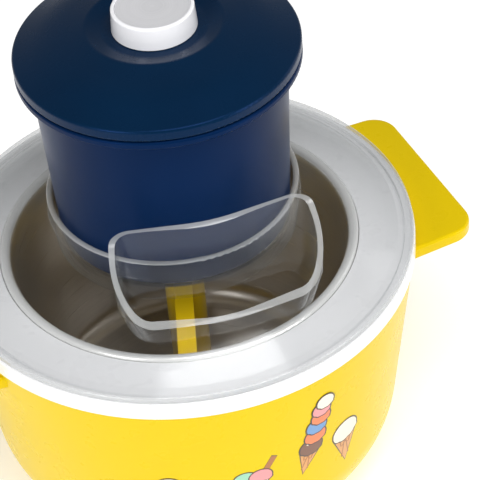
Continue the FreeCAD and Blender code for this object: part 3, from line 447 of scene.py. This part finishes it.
def print_motif(name, layers, direction, height, lean):
    """Lay the flat layers on the pot's tapered wall, each a little proud of the last."""
    mesh = bmesh.new()
    cos_lean, sin_lean = math.cos(math.radians(lean)), math.sin(math.radians(lean))
    for number, (ink, points) in enumerate(layers):
        sheet = flat_sheet(points)
        proud = (FIRST_INK + NEXT_INK * number) * MM
        outer = {}
        inner = {}
        for vert in sheet.verts:
            x = vert.co.x * cos_lean - vert.co.y * sin_lean
            z = height + vert.co.x * sin_lean + vert.co.y * cos_lean
            radius = POT_RIM_RADIUS - (POT_RIM_HEIGHT - z) * POT_TAPER
            turn = math.radians(direction) + x / radius
            for store, out in ((outer, proud), (inner, -SUNK_INK * MM)):
                reach = radius + out
                store[vert] = mesh.verts.new((reach * math.cos(turn), reach * math.sin(turn), z))
        index = INK_NAMES.index(ink)
        for face in sheet.faces:
            mesh.faces.new([outer[vert] for vert in face.verts]).material_index = index
            mesh.faces.new([inner[vert] for vert in reversed(face.verts)]).material_index = index
        for edge in sheet.edges:
            if len(edge.link_faces) == 1:
                loop = edge.link_loops[0]
                start, end = loop.vert, loop.link_loop_next.vert
                side = mesh.faces.new([outer[end], outer[start], inner[start], inner[end]])
                side.material_index = index
        sheet.free()
    data = bpy.data.meshes.new(name)
    mesh.to_mesh(data)
    mesh.free()
    for ink in INK_NAMES:
        data.materials.append(INK_MATERIALS[ink])
    piece = bpy.data.objects.new(name, data)
    SCENE.collection.objects.link(piece)
    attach(piece, "housing")


# Each motif's layers, its direction from +X in degrees, its height in millimetres and its lean.
MOTIFS = (
    (cone_motif(1.1, ("ink_brown", "ink_orange", "ink_blue", "ink_orange", "ink_pink", "ink_cream")),
     -78, 71, -13),
    (cone_motif(1.4, ("ink_cream",)), -66, 66, 4),
    (lolly_motif(1.1, "ink_blue", "ink_pink"), 45, 64, 8),
    (tub_motif(1.4, ("ink_mint", "ink_pink")), -94, 64, -4),
    (cone_motif(1.3, ("ink_pink", "ink_cream")), -116, 58, -7),
    (lolly_motif(0.95, "ink_orange", "ink_cream"), 90, 66, 6),
    (cone_motif(1.0, ("ink_mint", "ink_brown", "ink_cream")), 135, 66, 6),
)
for number, (layers, direction, height, lean) in enumerate(MOTIFS, start=1):
    print_motif(f"print_{number}", layers, direction, height * MM, lean)


# --- floor, light and camera ------------------------------------------------

FLOOR_HALF = 6


def floor():
    """A pale table top."""
    mesh = bmesh.new()
    steps = (-FLOOR_HALF, 0, FLOOR_HALF)
    rows = [[mesh.verts.new((x, y, 0)) for x in steps] for y in steps]
    for near, far in zip(rows, rows[1:]):
        for i in range(2):
            mesh.faces.new((near[i], near[i + 1], far[i + 1], far[i]))
    data = bpy.data.meshes.new("studio_floor")
    mesh.to_mesh(data)
    mesh.free()
    made = Shader("studio_paper", Specular_IOR_Level=0.1, Emission_Color=WHITE, Emission_Strength=0.3)
    cloud = made.spread(made.noise(3, 2), 0, 1)
    made.feed("Base Color", made.blend(cloud, tone(250, 250, 250), tone(252, 252, 252)))
    made.feed("Roughness", made.spread(made.noise(40), 0.8, 0.9))
    data.materials.append(made.material)
    piece = bpy.data.objects.new("studio_floor", data)
    SCENE.collection.objects.link(piece)


LIGHTS_AIM = (0, 0, 0.13)
# Each soft light's name, place, width and height in metres, and power in watts.
LIGHTS = (
    ("front_left", (-1.3, -0.95, 0.8), 0.6, 1.0, 13),
    ("front_right", (1.2, -1.0, 0.7), 0.5, 0.9, 8),
    ("top_front", (0.1, -0.75, 1.7), 1.1, 0.8, 17),
    ("right_side", (1.7, 0.2, 0.8), 0.5, 1.0, 2),
)


def softbox(name, place, width, height, power):
    """A rectangular light that points at the machine."""
    data = bpy.data.lights.new(name, "AREA")
    data.shape = "RECTANGLE"
    data.size, data.size_y = width, height
    data.energy = power
    lamp = bpy.data.objects.new(name, data)
    lamp.location = place
    lamp.rotation_euler = (Vector(LIGHTS_AIM) - Vector(place)).to_track_quat("-Z", "Y").to_euler()
    SCENE.collection.objects.link(lamp)


CAMERA_PLACE = (-0.1868, -0.6782, 0.7406)
CAMERA_HEADING = math.radians(17.6)
CAMERA_DIP = math.radians(41.43)
CAMERA_ROLL = math.radians(-5.19)
CAMERA_LENS = 156.8
CAMERA_SENSOR = 36


def camera():
    """Long lens from above the front left, turned a little about its own axis."""
    right = Vector((math.cos(CAMERA_HEADING), -math.sin(CAMERA_HEADING), 0))
    look = Vector((math.sin(CAMERA_HEADING) * math.cos(CAMERA_DIP),
                   math.cos(CAMERA_HEADING) * math.cos(CAMERA_DIP), -math.sin(CAMERA_DIP)))
    up = right.cross(look)
    across = math.cos(CAMERA_ROLL) * right + math.sin(CAMERA_ROLL) * up
    upright = -math.sin(CAMERA_ROLL) * right + math.cos(CAMERA_ROLL) * up
    data = bpy.data.cameras.new("camera")
    data.sensor_width = CAMERA_SENSOR
    data.lens = CAMERA_LENS
    data.clip_start = 0.01
    seen = bpy.data.objects.new("camera", data)
    turn = Matrix((across, upright, -look)).transposed().to_4x4()
    seen.matrix_world = Matrix.Translation(CAMERA_PLACE) @ turn
    SCENE.collection.objects.link(seen)
    SCENE.camera = seen


def surroundings():
    """Even pale light from all round."""
    world = bpy.data.worlds.new("studio")
    SCENE.world = world
    world.use_nodes = True
    light = world.node_tree.nodes["Background"].inputs
    light["Color"].default_value = WHITE
    light["Strength"].default_value = 0.3


floor()
camera()
for lamp_values in LIGHTS:
    softbox(*lamp_values)
surroundings()
